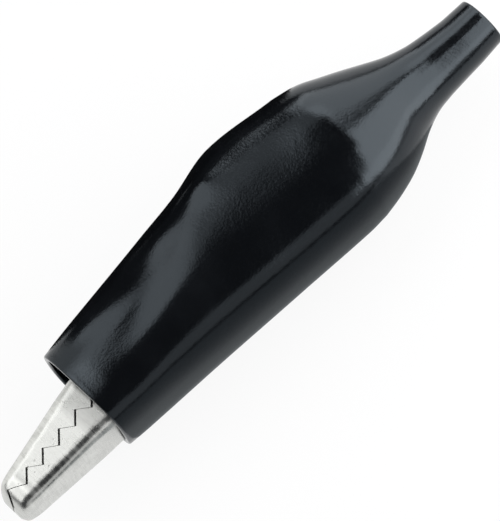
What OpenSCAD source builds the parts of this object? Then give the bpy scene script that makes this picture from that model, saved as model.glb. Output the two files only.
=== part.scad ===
// Miniature crocodile clip with a soft insulating boot, lying on its side.
// X runs along the cable axis towards the cable end, Y towards the moving jaw,
// and Z points up along the pivot. Places along X are first counted from the jaw tips.

/* [Sheet metal] */
// Thickness of the sheet that both jaws are folded from
sheet = 0.5; // [0.4:0.05:0.55]
// Outer radius of the folds along the backs of the jaws
bend_radius = 0.65; // [0.55:0.05:0.75]
// Outer width of both jaws behind the nose
jaw_width = 4.5; // [4.2:0.1:5]
// Outer width of the jaws where the rounded nose ends
nose_width = 3.5; // [3:0.1:4]
// Length of the rounded nose
nose_length = 1.7; // [1.2:0.1:2.2]
// Distance from the tips to where the jaws reach their outer width
jaw_taper = 6.5; // [5.5:0.5:8]
// Distance from the tips to the pivot
pivot_reach = 17.5; // [16.5:0.5:19]

/* [Fixed jaw] */
// Depth of the fixed jaw below the cable axis at the tip
fixed_depth = 1.48; // [1.2:0.02:1.6]
// Angle at which the back of the fixed jaw leaves the cable axis
fixed_back_angle = 2.3; // [1:0.1:3]
// Radius of the corner of the fixed nose
fixed_corner = 0.4; // [0.2:0.1:0.8]
// Distance from the tips to where the handle starts to open out
handle_start = 13.5; // [12:0.5:14]
// Angle of the back of the handle to the cable axis
handle_angle = 4.7; // [4:0.1:5.2]
// Outer radius of the folds along the handle
handle_radius = 0.9; // [0.6:0.05:1.2]
// Distance from the pivot to the end of the handle
handle_reach = 10.2; // [9.5:0.1:10.5]
// Height of the side walls of the handle above its back
handle_wall = 1.9; // [1.2:0.1:2.2]
// Run of the step from the handle up to the tail
tail_step = 2; // [1.6:0.1:2.2]
// Outer width of the tail under the clamp screw
tail_width = 4.4; // [4:0.1:4.6]
// Width of the strip that joins the tail to the crimp
tail_strip_width = 1.8; // [1.4:0.1:2]

/* [Moving jaw] */
// Height of the moving jaw above the cable axis at the tip
moving_depth = 0.9; // [0.8:0.02:1]
// Angle at which the back of the moving jaw leaves the cable axis
moving_back_angle = 9.9; // [9:0.1:10.5]
// Radius of the corner of the moving nose
moving_corner = 0.8; // [0.5:0.1:1]
// Distance from the pivot to the middle of the rise up to the lever
lever_rise_reach = 3.8; // [3.4:0.1:4.2]
// Height of the moving jaw above the cable axis in the middle of that rise
lever_rise_height = 4.92; // [4.7:0.02:5]
// Distance from the pivot to the highest point of the lever
lever_peak_reach = 6.7; // [6:0.1:7.5]
// Height of the highest point of the lever above the cable axis
lever_height = 5.8; // [5.4:0.02:6]
// Distance from the pivot to the end of the lever
lever_reach = 11.7; // [11:0.1:12]
// Height of the lever above the cable axis at its end
lever_end_height = 5.06; // [4.8:0.02:5.3]
// Outer width of the thumb pad on the lever
lever_width = 5.2; // [4.8:0.1:5.4]
// Radius of the rounded edges of the thumb pad
lever_radius = 1.3; // [1:0.1:1.5]
// Depth of the flanges along the sides of the lever
lever_flange = 1.4; // [1:0.1:1.6]
// Depth of the flanges where the end of the lever starts to round off
lever_end_flange = 1.1; // [0.8:0.1:1.3]

/* [Teeth] */
// Distance between two teeth
tooth_pitch = 1.526; // [1.4:0.02:1.6]
// Height of the teeth, from trough to crest
tooth_height = 0.7; // [0.5:0.02:0.8]
// Number of even teeth behind the nose tooth
tooth_count = 5; // [4:1:5]
// Distance from the tips to the crest of the nose tooth
nose_tooth = 0.66; // [0.6:0.02:0.8]
// Height of the crest of the nose tooth above the middle of the teeth
nose_crest = 0.42; // [0.35:0.01:0.45]
// Depth of the front of the nose tooth below the middle of the teeth
nose_drop = 0.4; // [0.35:0.01:0.45]
// Distance from the tips to the foot of the nose tooth
nose_flat = 0.12; // [0.1:0.01:0.2]
// Distance from the tips to the first trough
first_trough = 1.66; // [1.5:0.02:1.8]
// Gap between the closed tooth lines, across the bite
bite_gap = 0.11; // [0.08:0.01:0.16]
// How far the teeth of the moving jaw sit towards the tips
tooth_shift = 0.08; // [0.04:0.01:0.1]
// Angle of the tooth line to the cable axis
bite_angle = 2.9; // [2:0.1:3.5]
// Height of the pivot above the cable axis
pivot_height = 0.65; // [0.5:0.02:0.8]

/* [Pivot rivet] */
// Diameter of the rivet shank
rivet_diameter = 2.4; // [2:0.1:2.4]
// Diameter of the rivet heads
rivet_head_diameter = 3.8; // [3.4:0.1:4]
// Height of the domed rivet heads
rivet_head_height = 0.5; // [0.35:0.05:0.55]
// Radius of the ears of the fixed jaw round the pivot
ear_radius = 2.2; // [2:0.05:2.3]
// Radial clearance of the rivet in its holes
rivet_clearance = 0.03; // [0.02:0.01:0.06]
// Clearance between the ears of the two jaws, and under the rivet heads
side_clearance = 0.05; // [0.03:0.01:0.1]

/* [Torsion spring] */
// Diameter of the spring wire
wire_diameter = 0.6; // [0.45:0.05:0.65]
// Clearance between the coil and the rivet
coil_clearance = 0.15; // [0.1:0.05:0.2]
// Full turns of the coil, besides the part turn between its legs
coil_turns = 3; // [2:1:3]
// Gap between neighbouring turns of the coil
turn_gap = 0.05; // [0.03:0.01:0.08]
// Distance from the pivot to where the legs press on the handles
leg_reach = 6; // [5:0.1:7]
// Gap between the ends of the legs and the handles
leg_gap = 0.06; // [0.04:0.01:0.1]

/* [Clamp screw] */
// Distance from the pivot to the clamp screw
screw_reach = 13.9; // [13.7:0.1:14.2]
// Diameter of the screw over its thread
screw_diameter = 2.5; // [2:0.1:2.6]
// Radial clearance of the screw in its hole
screw_clearance = 0.05; // [0.03:0.01:0.08]
// Diameter of the screw head
screw_head_diameter = 4.2; // [3.8:0.1:4.2]
// Height of the screw head
screw_head_height = 1.15; // [1:0.05:1.25]
// Width of the screwdriver slot
slot_width = 0.55; // [0.4:0.05:0.7]
// Depth of the screwdriver slot
slot_depth = 0.55; // [0.4:0.05:0.6]
// Height of the threaded collar pressed down from the tail
collar_height = 0.5; // [0.3:0.05:0.6]

/* [Cable crimp] */
// Distance from the pivot to the crimp
crimp_reach = 16; // [15.8:0.1:16.4]
// Length of the crimp
crimp_length = 2; // [1.8:0.1:2.4]
// Diameter of the cable that the open crimp takes
crimp_bore = 2.3; // [2:0.1:2.4]
// Height of the crimp tabs above the middle of the cable
crimp_tab = 0.55; // [0.3:0.05:0.8]
// Height of the middle of the cable above the line between tips and cable end
cable_height = 0.05; // [0:0.05:0.3]

/* [Insulating boot] */
// Wall thickness of the soft boot
boot_wall = 0.4; // [0.35:0.05:0.5]
// Distance from the tips to the mouth of the boot
boot_start = 8; // [7:0.5:9]
// Height of the mouth of the boot above the cable axis
mouth_height = 4.7; // [4.6:0.02:5]
// Angle at which the top of the boot rises from its mouth
boot_rise_angle = 5.6; // [5:0.1:6]
// Distance from the pivot to where the top of the boot starts to swell over the lever
swell_reach = 3.1; // [2.5:0.1:3.5]
// Gap between the boot and the clip above and below
boot_gap = 0.4; // [0.35:0.05:0.6]
// Gap between the mouth of the boot and the back of the fixed jaw
mouth_gap = 0.19; // [0.17:0.01:0.3]
// Gap between the mouth of the boot and the sides of the jaws
mouth_side_gap = 1; // [0.9:0.05:1.2]
// Gap between the boot and the rivet heads
boot_side_gap = 0.35; // [0.3:0.05:0.5]
// Diameter of the cable hole in the neck
neck_bore = 2.6; // [2.4:0.1:3]
// Wall thickness of the neck where it leaves the body
neck_wall = 0.7; // [0.5:0.05:0.75]
// Wall thickness of the neck at its end
neck_end_wall = 0.4; // [0.35:0.05:0.6]
// Length of the straight neck
neck_length = 5; // [4:0.5:8]
// Distance from the crimp to the neck
neck_gap = 1.5; // [1.5:0.1:2.5]
// Squareness of the body of the boot, where 2 is an ellipse
boot_squareness = 2.7; // [2.6:0.1:3.2]
// Squareness of the upper half of the mouth of the boot
mouth_squareness = 2.8; // [2.7:0.1:3.4]
// Squareness of the lower half of the mouth, which holds the back of the fixed jaw
mouth_base_squareness = 3.2; // [3:0.1:3.6]

/* [Hidden] */
$fn = 64;

steel = "gainsboro";
spring_steel = "silver";
black_vinyl = "#202226";

// How far a cutting shape reaches past what it cuts
past = 1;
// Reach of the shapes that trim the folded jaws, beyond all of the clip
beyond = 8;

// Places along X that several pieces share, counted from the tips
pivot_x = pivot_reach;
handle_end = pivot_x + handle_reach;
tail_start = handle_end + tail_step;
lever_peak = pivot_x + lever_peak_reach;
lever_end = pivot_x + lever_reach;
screw_x = pivot_x + screw_reach;
crimp_start = pivot_x + crimp_reach;
crimp_end = crimp_start + crimp_length;
neck_start = crimp_end + neck_gap;
boot_end = neck_start + neck_length;

crimp_radius = crimp_bore / 2;
crimp_outer = crimp_radius + sheet;
tail_top = cable_height - crimp_radius;
tail_bottom = tail_top - sheet;

// The moving jaw straddles the fixed one
fixed_half = jaw_width / 2;
moving_half = fixed_half + side_clearance + sheet;

// Value of a smooth curve at place x, through pairs of place and value
function segment(pairs, x) =
    min(max(len([for (p = pairs) if (p[0] <= x) p]) - 1, 0), len(pairs) - 2);
function slope_at(pairs, i) =
    let (before = pairs[max(i - 1, 0)], after = pairs[min(i + 1, len(pairs) - 1)])
    (after[1] - before[1]) / (after[0] - before[0]);
function curve(pairs, x) =
    let (
        i = segment(pairs, x),
        run = pairs[i + 1][0] - pairs[i][0],
        u = min(max((x - pairs[i][0]) / run, 0), 1)
    )
    pairs[i][1] * (2 * u ^ 3 - 3 * u ^ 2 + 1)
    + slope_at(pairs, i) * run * (u ^ 3 - 2 * u ^ 2 + u)
    + pairs[i + 1][1] * (3 * u ^ 2 - 2 * u ^ 3)
    + slope_at(pairs, i + 1) * run * (u ^ 3 - u ^ 2);

// A value that eases from one level to another between two places
function eased(x, from, to, low, high) =
    let (u = min(max((x - from) / (to - from), 0), 1))
    low + (high - low) * u * u * (3 - 2 * u);

// A list of evenly spaced places from one to another
function places(from, to, count) = [for (i = [0 : count - 1]) from + (to - from) * i / (count - 1)];

// A solid skinned over rings of points, closed by a flat cap at each end
module skin(rings) {
    n = len(rings[0]);
    last = len(rings) - 1;
    points = [for (ring = rings) each ring];
    sides = [
        for (r = [0 : last - 1], k = [0 : n - 1])
            let (a = r * n + k, b = r * n + (k + 1) % n)
            each [[a, b, b + n], [a, b + n, a + n]]
    ];
    caps = [[for (k = [n - 1 : -1 : 0]) k], [for (k = [0 : n - 1]) last * n + k]];
    polyhedron(points, concat(sides, caps));
}

// Folded channel: rings of a U section whose back lies at height `back`, open on the other side.
// `side` is 1 where the back is below the walls and -1 where it is above them.
corner_steps = 4;
least_radius = 0.1;
function channel_ring(x, back, half, radius, side) =
    let (
        r = min(radius, half),
        corner = [for (i = [0 : corner_steps]) 90 * i / corner_steps],
        left = [for (a = corner) [x, back + side * r * (1 - sin(a)), -half + r * (1 - cos(a))]],
        right = [for (a = corner) [x, back + side * r * (1 - cos(a)), half - r * (1 - sin(a))]],
        ring = concat(
            [[x, side * beyond, -half]],
            left,
            right,
            [[x, side * beyond, half]]
        )
    )
    side > 0 ? ring : [for (i = [len(ring) - 1 : -1 : 0]) ring[i]];

// Share of the full width that the rounded nose has at a distance from its front
nose_roundness = 2.2;
function nose_share(distance, length) =
    distance >= length ? 1
    : (1 - (1 - max(distance, 0) / length) ^ nose_roundness) ^ (1 / nose_roundness);
nose_steps = [0.012, 0.05, 0.12, 0.22, 0.35, 0.5, 0.7, 1];

// How far a rounded corner of a nose stands back from its square corner
function corner_drop(x, radius) =
    x >= radius ? 0 : radius - sqrt(radius ^ 2 - (radius - max(x, 0)) ^ 2);

// Half width of both jaws up to the ears
function jaw_half(x) = lookup(x, [[nose_length, nose_width / 2], [jaw_taper, fixed_half]]);

// Places of the rings between the nose and the ears, and how far from a bend they keep
jaw_places = [nose_length + 0.9, 4.5, jaw_taper];
bend_half = 0.5;

// The folded sheet of a jaw: an outer channel less an inner one.
// `inset` is 0 for the outside and the sheet thickness for the inside.
module fixed_channel(inset) {
    round_part = nose_length - inset;
    bends = concat([throat_start - throat_lead, handle_start - bend_half, handle_start + bend_half], fold_places,
        [handle_end - 2 * bend_half]);
    step = places(handle_end - bend_half / 2, tail_start + bend_half, 7);
    strip = [screw_x + tail_width / 4, crimp_start - sheet / 2, crimp_start + sheet + (inset > 0 ? past : 0)];
    xs = concat([for (u = nose_steps) inset + u * round_part], jaw_places, bends, step, strip);
    skin([
        for (x = xs)
            channel_ring(
                x,
                fixed_back(x) + inset,
                (fixed_half_at(x) - inset) * nose_share(x - inset, round_part),
                max(fixed_fold(x) - inset, least_radius),
                1
            )
    ]);
}

// Outer height of the back of the fixed jaw, its handle and its tail
handle_root = -fixed_depth - handle_start * tan(fixed_back_angle);
handle_bottom = handle_root - (handle_end - handle_start) * tan(handle_angle);
function fixed_back(x) =
    x < handle_start ? corner_drop(x, fixed_corner) - fixed_depth - x * tan(fixed_back_angle)
    : x < handle_end ? handle_root - (x - handle_start) * tan(handle_angle)
    : eased(x, handle_end, tail_start, handle_bottom, tail_bottom);

// The folds widen over the start of the handle and tighten again on the tail
fold_run = 3;
fold_places = [handle_start + fold_run * 2 / 3, handle_start + fold_run * 7 / 6];
function fixed_fold(x) =
    x < tail_start ? eased(x, handle_start, handle_start + fold_run, bend_radius, handle_radius)
    : bend_radius;

// Half width of the fixed jaw, its tail and the strip to the crimp
function fixed_half_at(x) =
    x < handle_end ? jaw_half(x)
    : x <= screw_x + tail_width / 4 ? eased(x, handle_end, tail_start, fixed_half, tail_width / 2)
    : tail_strip_width / 2;

// A point on the tooth line: distance from the tips and height above the bite
function on_bite(along, height) =
    [
        pivot_x + (along - pivot_x) * cos(bite_angle) - height * sin(bite_angle),
        pivot_height + (along - pivot_x) * sin(bite_angle) + height * cos(bite_angle)
    ];

// The zigzag of the teeth, from the nose to the throat behind the last trough
function teeth(shift, rise) =
    concat(
        [on_bite(-past, rise - nose_drop), on_bite(nose_flat - shift, rise - nose_drop)],
        [on_bite(nose_tooth - shift, rise + nose_crest)],
        [
            for (i = [0 : tooth_count - 1])
                each [
                    on_bite(first_trough + i * tooth_pitch - shift, rise - tooth_height / 2),
                    on_bite(first_trough + (i + 0.5) * tooth_pitch - shift, rise + tooth_height / 2)
                ]
        ],
        [on_bite(first_trough + tooth_count * tooth_pitch - shift, rise - tooth_height / 2)],
        [on_bite(throat_start, rise - throat_drop), on_bite(joggle_end, rise - throat_drop)]
    );

// The walls close flat from the throat on, and the moving jaw widens over the joggle
joggle_start = 9.6;
joggle_end = 12.4;
throat_start = 10.1;
throat_drop = 0.1;
throat_lead = 0.6;

// Point on the rim of an ear
function on_ear(radius, angle) = [pivot_x + radius * cos(angle), pivot_height + radius * sin(angle)];

// Side view that trims the walls of the fixed jaw
module fixed_outline() {
    wall_top = handle_bottom + handle_wall;
    polygon(concat(
        [[-past, -beyond]],
        teeth(0, 0),
        [
            on_ear(ear_radius, 130),
            on_ear(ear_radius, 40),
            [pivot_x + 2 * ear_radius, wall_top + sheet],
            [handle_end - sheet, wall_top],
            [tail_start - sheet, tail_top],
            [crimp_end + past, tail_top],
            [crimp_end + past, -beyond]
        ]
    ));
    translate([pivot_x, pivot_height]) circle(r = ear_radius);
}

module fixed_jaw() {
    color(steel)
    translate(to_row)
    difference() {
        union() {
            difference() {
                intersection() {
                    fixed_channel(0);
                    translate([0, 0, -beyond]) linear_extrude(2 * beyond) fixed_outline();
                }
                fixed_channel(sheet);
            }
            crimp();
            translate([screw_x, tail_top, 0]) rotate([90, 0, 0])
                cylinder(r = screw_diameter / 2 + sheet, h = sheet + collar_height);
        }
        pivot_hole();
        screw_hole();
    }
}

// Open crimp that is closed round the cable
module crimp() {
    translate([crimp_start, cable_height, 0]) rotate([0, 90, 0])
    difference() {
        cylinder(r = crimp_outer, h = crimp_length);
        translate([0, 0, -past]) cylinder(r = crimp_radius, h = crimp_length + 2 * past);
        translate([-beyond, crimp_tab, -past]) cube([2 * beyond, beyond, crimp_length + 2 * past]);
    }
}

module pivot_hole() {
    translate([pivot_x, pivot_height, -beyond])
        cylinder(r = rivet_diameter / 2 + rivet_clearance, h = 2 * beyond);
}

module screw_hole() {
    translate([screw_x, tail_top + past, 0]) rotate([90, 0, 0])
        cylinder(r = screw_diameter / 2 + screw_clearance, h = 2 * past + sheet + collar_height);
}

// Outer height of the back of the moving jaw and of its lever
lever_root = pivot_x - 1;
lever_rise = pivot_x + lever_rise_reach;
lever_line = [
    [lever_root - 2, moving_line(lever_root - 2)],
    [lever_root, moving_line(lever_root)],
    [lever_root + 2, moving_line(lever_root + 2) - 0.07],
    [lever_rise, lever_rise_height],
    [lever_peak, lever_height],
    [lever_end, lever_end_height]
];
function moving_line(x) = moving_depth + x * tan(moving_back_angle);
function moving_back(x) =
    x < lever_root ? moving_line(x) - corner_drop(x, moving_corner) : curve(lever_line, x);

// The lever keeps the width of the ears up to here, then turns into the thumb pad with a rounded end
pad_start = pivot_x + 3.2;
pad_round = 1.6;
pad_end_share = 0.7;
function moving_fold(x) = eased(x, pad_start - 1, pad_start + 2, bend_radius, lever_radius);
function moving_half_at(x) =
    x < joggle_start ? jaw_half(x)
    : x < pivot_x ? eased(x, joggle_start, joggle_end - bend_half / 2, fixed_half, moving_half)
    : eased(x, pad_start, lever_end - pad_round, moving_half, lever_width / 2)
        * (pad_end_share + (1 - pad_end_share) * nose_share(lever_end + sheet / 10 - x, pad_round));

module moving_channel(inset) {
    round_part = nose_length - inset;
    joggle = concat([joggle_start], places(joggle_start + bend_half, joggle_end - bend_half / 2, 5));
    lever = concat([14.4, lever_root], places(lever_root + 1, lever_end - pad_round, 12));
    tip = [for (u = [0.5, 0.25, 0.1, 0.02]) lever_end - u * pad_round];
    xs = concat(
        [for (u = nose_steps) inset + u * round_part], jaw_places, joggle, lever, tip,
        [lever_end + (inset > 0 ? past : 0)]
    );
    skin([
        for (x = xs)
            channel_ring(
                x,
                moving_back(x) - inset,
                (moving_half_at(x) - inset) * nose_share(x - inset, round_part),
                max(moving_fold(x) - inset, least_radius),
                -1
            )
    ]);
}

// Side view that trims the walls of the moving jaw
moving_ear = ear_radius + 0.1;
module moving_outline() {
    polygon(concat(
        [[-past, beyond]],
        teeth(tooth_shift, bite_gap),
        [
            on_ear(moving_ear, 215),
            on_ear(moving_ear, 330),
            [lever_rise, lever_rise_height - lever_flange - sheet / 2],
            [lever_peak, lever_height - lever_flange],
            [lever_end - pad_round, lever_end_height - lever_end_flange],
            [lever_end + past, lever_end_height - sheet],
            [lever_end + past, beyond]
        ]
    ));
    translate([pivot_x, pivot_height]) circle(r = moving_ear);
}

module moving_jaw() {
    color(steel)
    translate(to_row)
    difference() {
        intersection() {
            moving_channel(0);
            translate([0, 0, -beyond]) linear_extrude(2 * beyond) moving_outline();
        }
        moving_channel(sheet);
        pivot_hole();
    }
}

// Rivet through all four ears, with a domed head at each end
head_seat = moving_half + side_clearance;
head_overlap = rivet_head_height / 4;
module pivot_rivet() {
    color(steel)
    translate(to_row)
    translate([pivot_x, pivot_height, 0]) {
        translate([0, 0, -head_seat - head_overlap])
            cylinder(r = rivet_diameter / 2, h = 2 * (head_seat + head_overlap));
        rivet_head();
        mirror([0, 0, 1]) rivet_head();
    }
}

module rivet_head() {
    r = rivet_head_diameter / 2;
    dome = (r ^ 2 + rivet_head_height ^ 2) / (2 * rivet_head_height);
    translate([0, 0, head_seat])
    intersection() {
        cylinder(r = r, h = rivet_head_height);
        translate([0, 0, rivet_head_height - dome]) sphere(r = dome);
    }
}

// Torsion spring: a coil round the rivet with two straight legs that touch the handles
wire_radius = wire_diameter / 2;
coil_radius = rivet_diameter / 2 + coil_clearance + wire_radius;
turn_pitch = wire_diameter + turn_gap;
leg_x = pivot_x + leg_reach;
upper_leg_end = [leg_reach, moving_back(leg_x) - sheet - wire_radius - leg_gap - pivot_height];
lower_leg_end = [leg_reach, fixed_back(leg_x) + sheet + wire_radius + leg_gap - pivot_height];

// Angle round the coil at which a straight leg to a point leaves it
function leave_angle(point, way) =
    atan2(point[1], point[0]) + way * acos(coil_radius / norm(point));
coil_from = leave_angle(upper_leg_end, 1);
coil_to = leave_angle(lower_leg_end, -1) + 360 * (coil_turns + 1);
coil_steps = 20;
wire_sides = 8;

function wire_ring(centre, angle) =
    [
        for (k = [0 : wire_sides - 1])
            let (turn = 360 * (k + 0.5) / wire_sides, out = wire_radius * cos(turn))
            [
                centre[0] + out * cos(angle),
                centre[1] + out * sin(angle),
                centre[2] + wire_radius * sin(turn)
            ]
    ];

module torsion_spring() {
    steps = ceil((coil_to - coil_from) / 360 * coil_steps);
    rise = turn_pitch * (coil_to - coil_from) / 360;
    color(spring_steel)
    translate(to_row)
    translate([pivot_x, pivot_height, 0])
    skin(concat(
        [wire_ring([upper_leg_end[0], upper_leg_end[1], rise / 2], coil_from)],
        [
            for (i = [0 : steps])
                let (a = coil_from + (coil_to - coil_from) * i / steps)
                wire_ring([coil_radius * cos(a), coil_radius * sin(a), rise / 2 - rise * i / steps], a)
        ],
        [wire_ring([lower_leg_end[0], lower_leg_end[1], -rise / 2], coil_to)]
    ));
}

// Slotted screw that clamps the bared wire to the tail
screw_seat = 0.05;
shank_point = 0.15;
crown_share = 2.6;
shank_length = screw_seat + sheet + collar_height + shank_point;
module clamp_screw() {
    head_radius = screw_head_diameter / 2;
    crown = crown_share * head_radius;
    color(steel)
    translate(to_row)
    translate([screw_x, tail_top + screw_seat, 0]) rotate([-90, 0, 0])
    difference() {
        union() {
            translate([0, 0, -shank_length])
                cylinder(d = screw_diameter, h = shank_length + screw_head_height / 2);
            intersection() {
                cylinder(r = head_radius, h = screw_head_height);
                translate([0, 0, screw_head_height - crown]) sphere(r = crown);
            }
        }
        translate([-beyond, -slot_width / 2, screw_head_height - slot_depth])
            cube([2 * beyond, slot_width, beyond]);
    }
}

// Outline of the boot: heights above and below the cable axis, and half the width
function boot_under(x) =
    fixed_back(x) - eased(x, boot_start, handle_start, mouth_gap, boot_gap) - boot_wall;
function boot_rise(x) = mouth_height + (x - boot_start) * tan(boot_rise_angle);
shoulder = lever_end;
swell_start = pivot_x + swell_reach;
function neck_radius(x) = neck_bore / 2 + lookup(x, [[neck_start, neck_wall], [boot_end, neck_end_wall]]);
mouth_half = fixed_half + mouth_side_gap + boot_wall;
boot_body_half = head_seat + rivet_head_height + boot_side_gap + boot_wall;
top_line = [
    [boot_start, mouth_height],
    [pivot_x, boot_rise(pivot_x)],
    [swell_start, boot_rise(swell_start)],
    [lever_peak, lever_height + boot_gap + boot_wall],
    [shoulder, lever_end_height + boot_gap + boot_wall]
];
bottom_places = [boot_start, (boot_start + handle_start) / 2, handle_start, pivot_x, handle_end];
bottom_line = concat([for (x = bottom_places) [x, boot_under(x)]], [[shoulder, boot_under(handle_end)]]);

// How late the sides of the boot close in towards its mouth
narrowing_power = 1.6;

// Share of the body that is left along the taper to the neck, for its top, bottom and sides
top_shares = [
    [0, 1], [0.23, 0.87], [0.39, 0.715], [0.55, 0.56], [0.71, 0.39],
    [0.87, 0.22], [1.03, 0.1], [1.19, 0.045], [1.4, 0]
];
bottom_shares = [
    [0, 1], [0.23, 0.87], [0.39, 0.73], [0.55, 0.5], [0.71, 0.21],
    [0.87, 0.01], [1, -0.05], [1.15, -0.04], [1.4, 0]
];
side_shares = [
    [0, 1], [0.15, 0.985], [0.3, 0.86], [0.45, 0.69], [0.6, 0.48],
    [0.75, 0.27], [0.9, 0.11], [1.05, 0.02], [1.25, 0]
];
function taper(shares, x) =
    let (u = (x - shoulder) / (neck_start - shoulder))
    u < shares[len(shares) - 1][0] ? curve(shares, u) : 0;
function along_boot(line, shares, neck, x) =
    x < shoulder ? curve(line, x) : neck + (curve(line, shoulder) - neck) * taper(shares, x);
function boot_top(x) = along_boot(top_line, top_shares, cable_height + neck_radius(x), x);
function boot_bottom(x) = along_boot(bottom_line, bottom_shares, cable_height - neck_radius(x), x);
function boot_half(x) =
    x < shoulder ? boot_body_half - (boot_body_half - mouth_half) * mouth_narrowing(x)
    : neck_radius(x) + (boot_body_half - neck_radius(x)) * taper(side_shares, x);
function mouth_narrowing(x) = max((pivot_x - x) / (pivot_x - boot_start), 0) ^ narrowing_power;
function boot_power(x, mouth) =
    x < shoulder ? eased(x, boot_start, pivot_x, mouth, boot_squareness)
    : eased(x, shoulder, neck_start, boot_squareness, 2);

// Two more sides than a multiple of four, so that each broad face has a flat strip and lies steady
boot_sides = 42;
function power(v, p) = sign(v) * abs(v) ^ (2 / p);
function boot_ring(x, inset) =
    let (
        middle = (boot_top(x) + boot_bottom(x)) / 2,
        tall = (boot_top(x) - boot_bottom(x)) / 2 - inset,
        wide = boot_half(x) - inset,
        upper = boot_power(x, mouth_squareness),
        lower = boot_power(x, mouth_base_squareness)
    )
    [
        for (k = [0 : boot_sides - 1])
            let (a = 360 * k / boot_sides, p = cos(a) > 0 ? upper : lower)
            [x, middle + tall * power(cos(a), p), wide * power(sin(a), p)]
    ];

boot_places = concat(
    places(boot_start + boot_wall, shoulder, 18),
    places(shoulder + boot_wall, neck_start, 10)
);
lip = boot_wall / 3;
neck_ease = 3.2;

// The rings run from the bottom of the cavity, round the lip of the mouth and along the outside
module insulating_boot() {
    outside = concat(
        [boot_ring(boot_start, lip), boot_ring(boot_start + lip, 0)],
        [for (x = boot_places) boot_ring(x, 0)],
        [for (x = places(neck_start + neck_ease / 5, neck_start + neck_ease, 5)) boot_ring(x, 0)],
        [boot_ring(boot_end - lip / 2, 0), boot_ring(boot_end, lip / 2)]
    );
    inside = concat(
        [for (i = [len(boot_places) - 1 : -1 : 0]) boot_ring(boot_places[i], boot_wall)],
        [boot_ring(boot_start + lip, boot_wall), boot_ring(boot_start, boot_wall - lip)]
    );
    color(black_vinyl)
    translate(to_row)
    difference() {
        skin(concat(inside, outside));
        translate([neck_start - lip, cable_height, 0]) rotate([0, 90, 0])
            cylinder(d = neck_bore, h = neck_length + past);
    }
}

// The row's origin is under the middle of the whole clip
boot_reach = concat([boot_start], boot_places, [boot_end]);
top_most = max([for (x = boot_reach) boot_top(x)]);
bottom_most = min([for (x = boot_reach) boot_bottom(x)]);
widest = max([for (x = boot_reach) boot_half(x)]);
to_row = [-boot_end / 2, -(top_most + bottom_most) / 2, widest];

insulating_boot();
fixed_jaw();
moving_jaw();
pivot_rivet();
torsion_spring();
clamp_screw();
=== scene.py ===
import math

import bmesh
import bpy
from mathutils import Matrix, Vector


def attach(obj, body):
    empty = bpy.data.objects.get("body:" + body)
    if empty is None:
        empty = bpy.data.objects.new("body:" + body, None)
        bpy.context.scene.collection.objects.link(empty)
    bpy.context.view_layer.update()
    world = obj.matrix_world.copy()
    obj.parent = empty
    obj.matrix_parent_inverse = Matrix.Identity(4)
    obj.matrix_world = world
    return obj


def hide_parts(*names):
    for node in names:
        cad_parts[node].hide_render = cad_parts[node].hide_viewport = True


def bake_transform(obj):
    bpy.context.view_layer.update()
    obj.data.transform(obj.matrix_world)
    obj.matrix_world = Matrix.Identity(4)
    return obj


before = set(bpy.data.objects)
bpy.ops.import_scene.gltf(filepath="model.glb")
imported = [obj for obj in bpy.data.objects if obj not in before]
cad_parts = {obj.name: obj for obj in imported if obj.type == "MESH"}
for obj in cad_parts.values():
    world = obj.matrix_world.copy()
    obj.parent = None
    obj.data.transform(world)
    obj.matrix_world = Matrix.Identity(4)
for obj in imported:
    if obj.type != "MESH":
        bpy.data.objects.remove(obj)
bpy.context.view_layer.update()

# Sizes of the clip in millimetres, as in its CAD source. Places are counted along X from the jaw tips,
# heights above the cable axis, and Z from the middle of the pivot.

# Frame, sheet, and what both jaws share
MM = 0.001
TO_ROW = (-21.0, -1.2978, 4.1)
TINY = 1e-9
SHEET = 0.5
BEND_RADIUS = 0.65
FIXED_HALF = 2.25
NOSE_HALF = 1.75
NOSE_LENGTH = 1.7
NOSE_ROUNDNESS = 2.2
JAW_TAPER = 6.5
PIVOT = (17.5, 0.65)
EAR_RADIUS = 2.2

# Fixed jaw, handle and tail. An ear's arc is given by the angles at its two ends.
FIXED_DEPTH = 1.48
FIXED_SLOPE = math.tan(math.radians(2.3))
FIXED_CORNER = 0.4
FIXED_EAR_ARC = (130, 40)
HANDLE_START = 13.5
HANDLE_SLOPE = math.tan(math.radians(4.7))
HANDLE_RADIUS = 0.9
HANDLE_WIDENING = 3
HANDLE_END = 27.7
HANDLE_WALL = 1.9
HANDLE_ROOT = -FIXED_DEPTH - HANDLE_START * FIXED_SLOPE
HANDLE_BOTTOM = HANDLE_ROOT - (HANDLE_END - HANDLE_START) * HANDLE_SLOPE
WALL_TOP = HANDLE_BOTTOM + HANDLE_WALL
TAIL_START = 29.7
TAIL_HALF = 2.2
TAIL_TOP = -1.1
STRIP_HALF = 0.9

# Moving jaw, lever and the pad at its end, whose width is a fixed share and one that rounds off
MOVING_DEPTH = 0.9
MOVING_SLOPE = math.tan(math.radians(9.9))
MOVING_CORNER = 0.8
MOVING_EAR = EAR_RADIUS + 0.1
MOVING_EAR_ARC = (215, 330)
SIDE_CLEARANCE = 0.05
MOVING_HALF = FIXED_HALF + SIDE_CLEARANCE + SHEET
JOGGLE = (9.6, 12.4)
JOGGLE_END = JOGGLE[1] - 0.25
LEVER_ROOT = 16.5
LEVER_BEND = 2
LEVER_DIP = 0.07
LEVER_RISE = (21.3, 4.92)
LEVER_PEAK = (24.2, 5.8)
LEVER_END = (29.2, 5.06)
LEVER_HALF = 2.6
LEVER_RADIUS = 1.3
LEVER_WALL = 1.4
PAD_START = 20.7
PAD_ROUND = 1.6
PAD_WALL = 1.1
PAD_WIDTH = (0.7, 0.3)

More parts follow.
